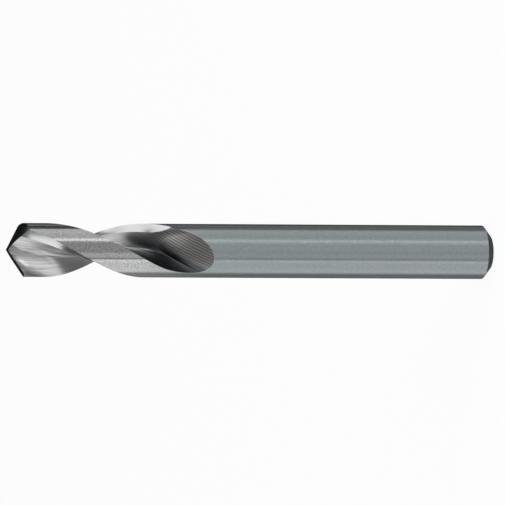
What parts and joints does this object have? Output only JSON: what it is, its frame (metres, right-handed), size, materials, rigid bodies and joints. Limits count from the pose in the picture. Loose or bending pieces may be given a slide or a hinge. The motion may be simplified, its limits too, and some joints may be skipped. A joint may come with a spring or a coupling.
{
  "type": "nc spot drill",
  "caption": "Short solid spot drill with a plain round shank, right-hand helical flutes that run out into the shank, and a ground 120 degree point for centring and spotting holes.",
  "frame": {"origin": "centre of the flat end of the shank, on the drill's axis", "axes": "+Z along the drill's axis from the shank end to the point; X and Y across it, with no preferred side"},
  "size_m": [0.009, 0.009, 0.084],
  "materials": {
    "ground_tool_steel": "ground high-speed steel, bright, uncoated"
  },
  "bodies": {
    "root": {"nc_spot_drill": "ground_tool_steel"}
  },
  "joints": []
}
